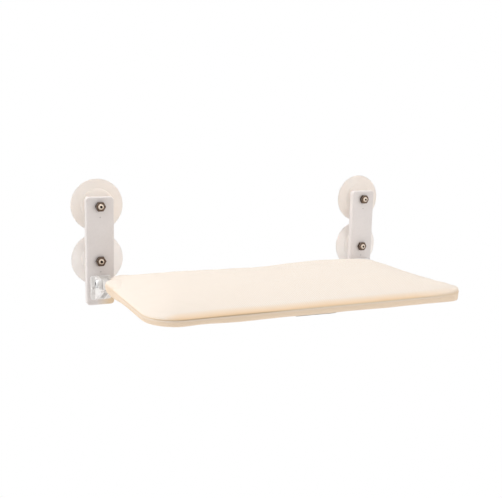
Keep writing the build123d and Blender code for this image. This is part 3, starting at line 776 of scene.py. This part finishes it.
for side in SIDES:
    nut_low, nut_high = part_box(f"{side}_hex_nuts")
    stud_end = -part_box(f"{side}_cup_studs")[0].y - SET_BACK
    for level in LEVELS:
        middle = centre_of(f"{side}_{level}_suction_cup")
        shape = bmesh.new()
        skin_rings(shape, lathe(STUD_HEAD, middle, STUD_STEPS))
        threaded_rod(shape, middle, STUD_HEAD_TOP, stud_end)
        stud = as_piece(f"{side}_{level}_stud", shape, GILT, 50.0)
        seat(stud, f"{side}_mount", "steel", f"{side}_cup_studs")
        shape = bmesh.new()
        hexagon_nut(shape, middle, -nut_high.y, -nut_low.y - SET_BACK)
        nut = as_piece(f"{side}_{level}_nut", shape, BLACKED, 20.0)
        seat(nut, f"{side}_mount", "steel", f"{side}_hex_nuts")

# Domed screws with a cross recess

SCREW_STEPS = 36
SCREW_HEAD = 0.0024
SCREW_SHANK = 0.008
SCREW_MIDDLE = 0.0004
SCREW_DOME = 0.0010
SCREW_DOME_STEPS = 6
RECESS_DEPTH = 0.0013
RECESS_REACH, RECESS_ARM = 0.6, 0.13
HEAD_FINDING_DEPTH, HEAD_FINDING_REACH = 0.0020, 0.008


def cross_cutter(centre, top, head_radius):
    """Tapered cross that cuts the recess of a screw head."""
    shape = bmesh.new()
    reach, arm = head_radius * RECESS_REACH, head_radius * RECESS_ARM
    for width, height in ((reach, arm), (arm, reach)):
        rings = []
        for level, taper_x, taper_z in ((top + 0.001, 1.25, 1.0), (top - RECESS_DEPTH, 0.55, 0.8)):
            rings.append([
                Vector((
                    centre.x + sx * width * taper_x, -level, centre.z + sz * height * taper_z
                ))
                for sx, sz in SQUARE
            ])
        skin_rings(shape, rings)
    return shape


def screw_heads(node):
    """Middle and radius of each screw head in a CAD node, and the height of their tops."""
    points = [vertex.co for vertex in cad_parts[node].data.vertices]
    front = min(point.y for point in points)
    heads = []
    for point in points:
        if point.y < front + HEAD_FINDING_DEPTH:
            flat = Vector((point.x, 0, point.z))
            for first, found in heads:
                if (flat - first).length < HEAD_FINDING_REACH:
                    found.append(point)
                    break
            else:
                heads.append((flat, [point]))
    places = []
    for _, found in heads:
        xs, _, zs = zip(*found)
        middle = Vector(((min(xs) + max(xs)) / 2, 0, (min(zs) + max(zs)) / 2))
        places.append((middle, (max(xs) - min(xs)) / 2))
    return places, -front


def screw_profile(top, radius):
    """Section of a screw from its tip over the domed head."""
    base = top - SCREW_HEAD
    profile = [
        (base - SCREW_SHANK, SCREW_MIDDLE), (base - SCREW_SHANK, radius * 0.5),
        (base, radius * 0.57), (base, radius * 0.97), (base + 0.0003, radius),
    ]
    for i in range(SCREW_DOME_STEPS + 1):
        turn = math.pi / 2 * i / SCREW_DOME_STEPS
        rise = top - SCREW_DOME + SCREW_DOME * math.sin(turn)
        profile.append((rise, radius - radius * 0.45 * (1 - math.cos(turn))))
    return profile + [(top, SCREW_MIDDLE)]


for side in SIDES:
    node = f"{side}_bracket_screws"
    places, head_top = screw_heads(node)
    for number, (middle, head_radius) in enumerate(places, 1):
        shape = bmesh.new()
        skin_rings(shape, lathe(screw_profile(head_top, head_radius), middle, SCREW_STEPS))
        screw = as_piece(f"{side}_bracket_screw_{number}", shape, PAINT)
        cut(screw, cross_cutter(middle, head_top, head_radius))
        seat(screw, f"{side}_mount", "steel", node)

# Forms of the bed

ARC_STEPS = 14
LONG_STEPS = 90
SHORT_STEPS = 44
LEAST_CORNER = 0.002

# Corners by their ways to the right and rear: edges, radius, steps along the edge that follows
BED_CORNERS = {
    (1, 1): (COVER_RIGHT_X, BED_REAR_Y, 0.040, LONG_STEPS),
    (-1, 1): (COVER_LEFT_X, BED_REAR_Y, 0.040, SHORT_STEPS),
    (-1, -1): (COVER_LEFT_X, BED_FRONT_Y, 0.042, LONG_STEPS),
    (1, -1): (COVER_RIGHT_X, BED_FRONT_Y, 0.030, SHORT_STEPS),
}

CROWN_RUN = 0.016
CROWN_SHARES = (0.98, 0.8, 0.6, 0.45, 0.33, 0.25, 0.19, 0.14, 0.1, 0.065, 0.03)
EDGE_RINGS = 12


def bed_outline(inset):
    """Points round the bed's outline, drawn in by an inset, always the same number of them."""
    arcs = []
    for number, (rightward, rearward) in enumerate(BED_CORNERS):
        edge_x, edge_y, corner, _ = BED_CORNERS[rightward, rearward]
        radius = max(corner - inset, LEAST_CORNER)
        x = edge_x - rightward * (inset + radius)
        y = edge_y - rearward * (inset + radius)
        arc = arc_points((x, y), radius, 90 * number, 90 * (number + 1), ARC_STEPS)
        arcs.append([Vector((*spot, 0)) for spot in arc])
    points = []
    for arc, following, corner in zip(arcs, arcs[1:] + arcs[:1], BED_CORNERS.values()):
        steps = corner[3]
        points += arc + [arc[-1].lerp(following[0], i / steps) for i in range(1, steps)]
    return points


def outline_gap(point):
    """How far inside the bed's outline a place lies, and the way to the nearest edge."""
    rightward = 1 if point.x > 0 else -1
    rearward = 1 if point.y > (BED_REAR_Y + BED_FRONT_Y) / 2 else -1
    edge_x, edge_y, radius, _ = BED_CORNERS[rightward, rearward]
    side_gap, end_gap = (edge_x - point.x) * rightward, (edge_y - point.y) * rearward
    if side_gap < radius and end_gap < radius:
        away = Vector(((radius - side_gap) * rightward, (radius - end_gap) * rearward, 0))
        return radius - away.length, away.normalized()
    if side_gap < end_gap:
        return side_gap, Vector((rightward, 0, 0))
    return end_gap, Vector((0, rearward, 0))


def pillow(edge_round, start_inset, top_lift, rise, belly):
    """Closed form of the bed: a rounded edge, a crowned top and a flatter underside."""
    reach = (BED_REAR_Y - BED_FRONT_Y) / 2 - start_inset - edge_round
    rings = []

    def ring(inset, height):
        rings.append([point + UP * (MIDDLE_Z + height) for point in bed_outline(inset)])

    def swelling(share):
        return 1 - math.exp(-share * reach / CROWN_RUN)

    for share in CROWN_SHARES:
        ring(start_inset + edge_round + share * reach, -(top_lift + belly * swelling(share)))
    for i in range(EDGE_RINGS + 1):
        turn = math.pi * (i / EDGE_RINGS - 0.5)
        way = 1 if turn > 0 else -1 if turn < 0 else 0
        height = edge_round * math.sin(turn) + (top_lift - edge_round) * way
        ring(start_inset + edge_round * (1 - math.cos(turn)), height)
    for share in reversed(CROWN_SHARES):
        ring(start_inset + edge_round + share * reach, top_lift + rise * swelling(share))
    shape = bmesh.new()
    skin_rings(shape, rings)
    return shape


def box_cutter(low, high):
    """Plain block used to cut a form."""
    shape = bmesh.new()
    ends = {-1: low, 1: high}
    skin_rings(shape, [
        [Vector((ends[sx].x, ends[sy].y, z)) for sx, sy in SQUARE] for z in (low.z, high.z)
    ])
    return shape


def ramp(value, start, end):
    """Smooth step from 0 at start to 1 at end."""
    share = max(0.0, min(1.0, (value - start) / (end - start)))
    return share * share * (3 - 2 * share)


def bulge(value, middle, width):
    """Smooth hump of height 1 round a value."""
    return math.exp(-(((value - middle) / width) ** 2))


# Cover: swollen by a short cloth simulation, then sewn, slack and packed out at the corners

COVER_EASE = 0.0009
COVER_CROWN = 0.0098
COVER_BELLY = 0.0004
CUT_PAST = 0.01
CUT_HALF_HEIGHT = 0.02
VOXEL = 0.004
SIM_FRAMES = 20
SWELL_CAP = 0.004
EDGE_HOLD = 0.010
EDGE_HOLD_START = 1.6
CLOTH_SETTINGS = dict(
    quality=6, mass=0.15, tension_stiffness=20, compression_stiffness=20, shear_stiffness=8,
    bending_stiffness=0.6, use_pressure=True, uniform_pressure_force=1.2, shrink_min=-0.002,
    vertex_group_mass="held", pin_stiffness=1
)


def swell(piece):
    """Let the cover swell under light pressure, held round its edge, and keep the result."""
    rest = [vertex.co.copy() for vertex in piece.data.vertices]
    held = piece.vertex_groups.new(name="held")
    for index, point in enumerate(rest):
        gap, _ = outline_gap(point)
        weight = max(0.0, min(1.0, EDGE_HOLD_START - gap / EDGE_HOLD))
        if weight > 0:
            held.add([index], weight, "REPLACE")
    cloth = modify(piece, "CLOTH")
    configure(cloth.settings, **CLOTH_SETTINGS).effector_weights.gravity = 0
    configure(cloth.point_cache, frame_start=1, frame_end=SIM_FRAMES)
    for step in range(1, SIM_FRAMES + 1):
        scene.frame_set(step)
    evaluated = piece.evaluated_get(bpy.context.evaluated_depsgraph_get())
    swollen = [vertex.co.copy() for vertex in evaluated.data.vertices]
    piece.modifiers.clear()
    scene.frame_set(1)
    for vertex, before, after in zip(piece.data.vertices, rest, swollen):
        move = after - before
        if move.length > SWELL_CAP:
            move = move.normalized() * SWELL_CAP
        vertex.co = before + move
    piece.vertex_groups.clear()


SEAM_GROOVE = 0.0004
SEAM_GROOVE_WIDTH = 0.0010
GROOVE_LOOPS = (-0.0024, -0.0015, -0.0008, 0.0, 0.0008, 0.0015, 0.0024)
STITCH_PITCH = 0.0085
STITCH_DEPTH = 0.35
WAVES = ((0.0007, (14, 14, 20), (0, 0, 0)), (0.0003, (45, 45, 30), (7, 2, 5)))
CALM_SIDES = 0.8

# Slack: height, middle and width across the bed, middle and width from its rear or front edge
TOP_SLACK = (
    (0.0036, 0.115, 0.065, 0.02, 0.05),
    (-0.0014, 0.02, 0.035, 0.02, 0.05),
    (0.0008, -0.12, 0.05, 0.0, 0.07),
    (-0.0010, -0.185, 0.03, 0.0, 0.05),
    (-0.0006, BED_HALF_WIDTH, 0.03, 0.03, 0.04),
)
UNDERSIDE_SLACK = (
    (0.0004, -BED_HALF_WIDTH, 0.06, 0.0, 0.06),
    (0.0011, -BED_HALF_WIDTH, 0.05, 0.095, 0.05),
    (0.0010, -0.155, 0.025, 0.0, 0.03),
)

# Corners where the cloth is packed out: place, reach, lift of the top, drop of the underside,
# bluntness of the edge
STUFFED_CORNERS = (
    (Vector((-0.226, -0.092)), 0.040, 0.0004, 0.0012, 0.75),
    (Vector((-0.204, -0.048)), 0.013, 0.0032, 0.0, 0.0),
    (Vector((0.226, -0.085)), 0.030, 0.0008, 0.0, 0.5),
    (Vector((0.224, -0.262)), 0.032, 0.0022, 0.0002, 0.9),
)


def slack_of(humps, x, gap):
    """How far loose cloth stands off at a place across the bed and from one of its edges."""
    return sum(
        height * bulge(x, middle, width) * bulge(gap, edge_middle, edge_width)
        for height, middle, width, edge_middle, edge_width in humps
    )


def top_slack(point):
    """Slack of the top, which also rises towards the front right."""
    rear = BED_REAR_Y - point.y
    right = 0.0008 * bulge(point.x, BED_HALF_WIDTH, 0.06) * ramp(rear, 0.06, 0.16)
    return slack_of(TOP_SLACK, point.x, rear) + right


def underside_slack(point):
    """Slack of the underside, which hangs a little lower over its right half."""
    front = point.y - BED_FRONT_Y
    return slack_of(UNDERSIDE_SLACK, point.x, front) - 0.0010 * ramp(point.x, 0.02, 0.12)


def stuffed_corner(point):
    """Place of a point once the corners are packed out and their edges are blunt."""
    gap, way = outline_gap(point)
    share = 1 - gap / EDGE_ROUND
    level = point.z - MIDDLE_Z
    moved = point.copy()
    above, below = ramp(level, 0.0, EDGE_ROUND), ramp(-level, 0.0, EDGE_ROUND)
    for spot, reach, lift, drop, bluntness in STUFFED_CORNERS:
        near = bulge((point.xy - spot).length, 0.0, reach)
        moved.z += near * (lift * above - drop * below)
        if 0 < share < 1:
            moved += way * EDGE_ROUND * (share ** (1 - bluntness * near) - share)
    return moved


def sewn_move(point, normal):
    """How far a point of the cover moves for the seam's groove, the cloth's waves and slack."""
    side = ramp(1 - abs(normal.z), 0.05, 0.4)
    run = point.x if abs(normal.y) > abs(normal.x) else point.y
    stitch = STITCH_DEPTH * math.sin(2 * math.pi * run / STITCH_PITCH)
    pucker = 1 + stitch + 0.3 * noise.noise(Vector((run * 60, 3.1, 0)))
    in_groove = bulge(point.z - MIDDLE_Z, SEAM_LEVEL, SEAM_GROOVE_WIDTH)
    groove = -SEAM_GROOVE * pucker * in_groove * side
    wave = sum(
        height * noise.noise(point * Vector(scale) + Vector(shift))
        for height, scale, shift in WAVES
    )
    wave *= 1 - CALM_SIDES * side
    slack = top_slack(point) if normal.z > 0 else underside_slack(point)
    return normal * (groove + wave) + UP * slack * ramp(abs(normal.z), 0.2, 0.8)


def shape_cover(piece):
    """Sewn groove round the edge, slack, slow waves in the cloth and packed corners."""
    shape = bmesh.new()
    shape.from_mesh(piece.data)
    for offset in GROOVE_LOOPS:
        bmesh.ops.bisect_plane(
            shape,
            geom=list(shape.verts) + list(shape.edges) + list(shape.faces),
            plane_co=(0, 0, MIDDLE_Z + SEAM_LEVEL + offset),
            plane_no=UP,
        )
    shape.normal_update()
    moves = [sewn_move(vertex.co, vertex.normal) for vertex in shape.verts]
    for vertex, move in zip(shape.verts, moves):
        vertex.co = stuffed_corner(vertex.co + move)
    shape.to_mesh(piece.data)
    shape.free()


shape = pillow(EDGE_ROUND, -COVER_EASE, EDGE_ROUND, COVER_CROWN, COVER_BELLY)
cover = as_piece("cover", shape, CLOTH)
for outward in (-1, 1):
    across = sorted((outward * NOTCH_SIDE_X, outward * (BED_HALF_WIDTH + CUT_PAST)))
    cut(cover, box_cutter(
        Vector((across[0], NOTCH_FRONT_Y, MIDDLE_Z - CUT_HALF_HEIGHT)),
        Vector((across[1], BED_REAR_Y + CUT_PAST, MIDDLE_Z + CUT_HALF_HEIGHT)),
    ))
modify(cover, "REMESH", mode="VOXEL", voxel_size=VOXEL, use_smooth_shade=True)
keep_modifiers(cover)
swell(cover)
modify(cover, "SMOOTH", iterations=1, factor=0.4)
modify(cover, "SUBSURF", levels=1)
keep_modifiers(cover)
shape_cover(cover)
cover.data.shade_smooth()
cover.data.materials.clear()
cover.data.materials.append(CLOTH)
seat(cover, "bed", "cover_fabric", "cover_top_panel", "cover_underside_panel")

# The cover's packed corners beside the hinges

CORNER_STEPS = 40
CORNER_LEVELS = 20
CORNER_MIDDLE = Vector((0.2118, -0.0755, MIDDLE_Z + 0.0035))
CORNER_HALF_WIDTH = 0.0150
CORNER_REAR_RUN, CORNER_FRONT_RUN = 0.0095, 0.042
CORNER_HEIGHTS = {"left": 0.0088, "right": 0.0066}
CORNER_PLAN = 2.8
CORNER_ROUND = 2.3


def signed_power(value, exponent):
    """A power that keeps the sign."""
    return math.copysign(abs(value) ** exponent, value)


def packed_corner(outward, half_height):
    """Rounded block of packed cloth, longer towards the front."""
    rings = []
    for level in range(1, CORNER_LEVELS):
        tilt = math.pi * (level / CORNER_LEVELS - 0.5)
        width = math.cos(tilt) ** (2 / CORNER_ROUND)
        rise = half_height * signed_power(math.sin(tilt), 2 / CORNER_ROUND)
        ring = []
        for turn in full_turn(CORNER_STEPS):
            across = CORNER_HALF_WIDTH * width * signed_power(math.cos(turn), 2 / CORNER_PLAN)
            run = CORNER_REAR_RUN if math.sin(turn) > 0 else CORNER_FRONT_RUN
            along = run * width * signed_power(math.sin(turn), 2 / CORNER_PLAN)
            ring.append(Vector((
                outward * (CORNER_MIDDLE.x + across),
                CORNER_MIDDLE.y + along,
                CORNER_MIDDLE.z + rise,
            )))
        rings.append(ring)
    shape = bmesh.new()
    skin_rings(shape, rings)
    return shape


for side, outward in (("left", -1), ("right", 1)):
    shape = packed_corner(outward, CORNER_HEIGHTS[side])
    packed = as_piece(f"{side}_cover_corner", shape, CLOTH, 180.0)
    seat(packed, "bed", "cover_fabric", "cover_top_panel")
    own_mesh(packed)

# Foam inside the cover

PAD_ROUND = 0.003
PAD_INSET = 0.0145
PAD_TOP = 0.0049
PAD_DROP = 0.0012
shape = pillow(PAD_ROUND, PAD_INSET, PAD_TOP, BED_CROWN - PAD_DROP, 0.0)
foam = as_piece("foam_core", shape, FOAM)
seat(foam, "bed", "foam", "foam_pad")

# Piping of the seam, interrupted at the hinges

PIPING_RADIUS = 0.0006
PIPING_UNEVEN = 0.08
PIPING_SIDES = 10
PIPING_FINER = 3
SEAM_INSET = EDGE_ROUND - math.sqrt(EDGE_ROUND ** 2 - SEAM_LEVEL ** 2)


def seam_runs():
    """The stretches of the seam line between the hinge cut-outs."""
    def sewn(point):
        return abs(point.x) <= NOTCH_SIDE_X or point.y <= NOTCH_FRONT_Y

    points = bed_outline(SEAM_INSET + SEAM_GROOVE * 0.6)
    start = next(i for i, point in enumerate(points) if sewn(point) and not sewn(points[i - 1]))
    runs = groupby(points[start:] + points[:start], key=sewn)
    return [list(run) for kept, run in runs if kept]


def sweep_piping(shape, points):
    """Slightly uneven round section carried along points, closed at both ends."""
    rings = []
    for i, point in enumerate(points):
        forward = (points[min(i + 1, len(points) - 1)] - points[max(i - 1, 0)]).normalized()
        outward = forward.cross(UP)
        uneven = PIPING_UNEVEN * noise.noise(Vector((i * 0.31, 0.7, 0)))
        radius = PIPING_RADIUS * (1 + uneven)
        rings.append([
            point + outward * radius * math.cos(turn) + UP * (radius * math.sin(turn))
            for turn in full_turn(PIPING_SIDES)
        ])
    skin_rings(shape, rings)


cover_surface = BVHTree.FromPolygons(
    [vertex.co for vertex in cover.data.vertices],
    [tuple(face.vertices) for face in cover.data.polygons],
)
shape = bmesh.new()
for run in seam_runs():
    points = [
        before.lerp(after, step / PIPING_FINER)
        for before, after in zip(run, run[1:])
        for step in range(PIPING_FINER)
    ]
    points.append(run[-1])
    raised = [stuffed_corner(point + UP * (MIDDLE_Z + SEAM_LEVEL)) for point in points]
    sweep_piping(shape, [cover_surface.find_nearest(point)[0] for point in raised])
piping = as_piece("seam_piping", shape, WELT, 60.0)
seat(piping, "bed", "seam_fabric", "cover_seam")

# Closure tape under the front edge, laid on the cover's underside

TAPE_COLUMNS, TAPE_ROWS = 30, 8
TAPE_THICKNESS = 0.0010
TAPE_STANDS_OUT = 0.0001
TAPE_UNEVEN = 0.00015
TAPE_UNEVEN_SCALE = 120
BELOW_BED = 0.05

low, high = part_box("closure_tape")
shape = bmesh.new()
grid = []
for j in range(TAPE_ROWS + 1):
    y = low.y + (high.y - low.y) * j / TAPE_ROWS
    row = []
    for i in range(TAPE_COLUMNS + 1):
        x = low.x + (high.x - low.x) * i / TAPE_COLUMNS
        under = cover_surface.ray_cast(Vector((x, y, MIDDLE_Z - BELOW_BED)), UP)[0]
        spot = Vector((x * TAPE_UNEVEN_SCALE, y * TAPE_UNEVEN_SCALE, 0))
        z = under.z - TAPE_STANDS_OUT + TAPE_UNEVEN * noise.noise(spot)
        row.append(shape.verts.new((x, y, z)))
    grid.append(row)
for lower, upper in zip(grid, grid[1:]):
    for i in range(TAPE_COLUMNS):
        shape.faces.new((lower[i], lower[i + 1], upper[i + 1], upper[i]))
tape = as_piece("closure_strip", shape, TAPE)
modify(tape, "SOLIDIFY", thickness=TAPE_THICKNESS, offset=0.0)
keep_modifiers(tape)
seat(tape, "bed", "closure", "closure_tape")

# Floor, lights and camera

FLOOR_DROP = 0.55
FLOOR_REACH = 14.0


def pale_background(tree, shader_output, surface_input, kind):
    """Show plain white where the background is seen, and the given shader elsewhere."""
    path = place(tree, "ShaderNodeLightPath").outputs
    rays = [path[f"Is {ray} Ray"] for ray in ("Camera", "Glossy", "Transmission")]
    seen = maths(tree, "MAXIMUM", *rays)
    white = place(tree, kind, {"Color": (1.0, 1.0, 1.0, 1.0), "Strength": 1.0}).outputs[0]
    mixed = place(tree, "ShaderNodeMixShader", {0: seen, 1: shader_output, 2: white}).outputs[0]
    tree.links.new(mixed, surface_input)


shape = bmesh.new()
floor_z = cad_box[0].z - FLOOR_DROP
shape.faces.new([
    shape.verts.new((sx * FLOOR_REACH, sy * FLOOR_REACH, floor_z)) for sx, sy in SQUARE
])
floor_paint, tree = new_material("pale_floor", Roughness=0.9, Specular_IOR_Level=0.1)
shade = use_group(tree, UNEVEN_SHADE, Broad=1.2, Fine=30.0)["Mask"]
whites = blend(tree, shade, srgb(248, 248, 248), srgb(252, 252, 252))
tree.links.new(whites, shader_inputs(floor_paint)["Base Color"])
surface = tree.nodes["Material Output"].inputs["Surface"]
pale_background(tree, tree.nodes["Principled BSDF"].outputs[0], surface, "ShaderNodeEmission")
floor = as_piece("floor", shape, floor_paint)

world = bpy.data.worlds.new("studio")
scene.world = world
world.use_nodes = True
tree = world.node_tree
ambient = tree.nodes["Background"]
ambient.inputs["Color"].default_value = (1.0, 0.99, 0.98, 1.0)
ambient.inputs["Strength"].default_value = 0.48
surface = tree.nodes["World Output"].inputs["Surface"]
pale_background(tree, ambient.outputs[0], surface, "ShaderNodeBackground")


def soft_light(name, stand, target, size, power, colour):
    """Square area light that points at a place."""
    lamp = bpy.data.lights.new(name, "AREA")
    configure(lamp, size=size, energy=power, color=colour)
    holder = bpy.data.objects.new(name, lamp)
    scene.collection.objects.link(holder)
    holder.location = stand
    holder.rotation_mode = "QUATERNION"
    holder.rotation_quaternion = (Vector(target) - Vector(stand)).to_track_quat("-Z", "Y")


soft_light("key", (-0.2, 0.35, 1.7), (0, -0.15, 0), 1.3, 22.6, (1.0, 0.99, 0.98))
soft_light("left_fill", (-2.0, 0.1, 0.2), (-0.2, -0.05, 0), 1.0, 14.0, (1.0, 0.99, 0.985))
soft_light("front_fill", (1.25, -1.9, 0.4), (0.1, 0, 0), 2.2, 16.2, (1.0, 1.0, 1.0))

# The camera stands where the photo was taken from

CAMERA_PLACE = Vector((-0.4833, -1.0768, 0.1732))
CAMERA_YAW, CAMERA_PITCH, CAMERA_ROLL = map(math.radians, (25.31, 10.03, 1.49))

camera = bpy.data.objects.new("camera", bpy.data.cameras.new("camera"))
scene.collection.objects.link(camera)
configure(camera.data, lens=55.0, sensor_width=36.0, clip_start=0.01, clip_end=60.0)
camera.matrix_world = (
    Matrix.Translation(CAMERA_PLACE)
    @ Matrix.Rotation(-CAMERA_YAW, 4, "Z")
    @ Matrix.Rotation(math.pi / 2 - CAMERA_PITCH, 4, "X")
    @ Matrix.Rotation(CAMERA_ROLL, 4, "Z")
)
scene.camera = camera
scene.view_settings.view_transform = "Standard"
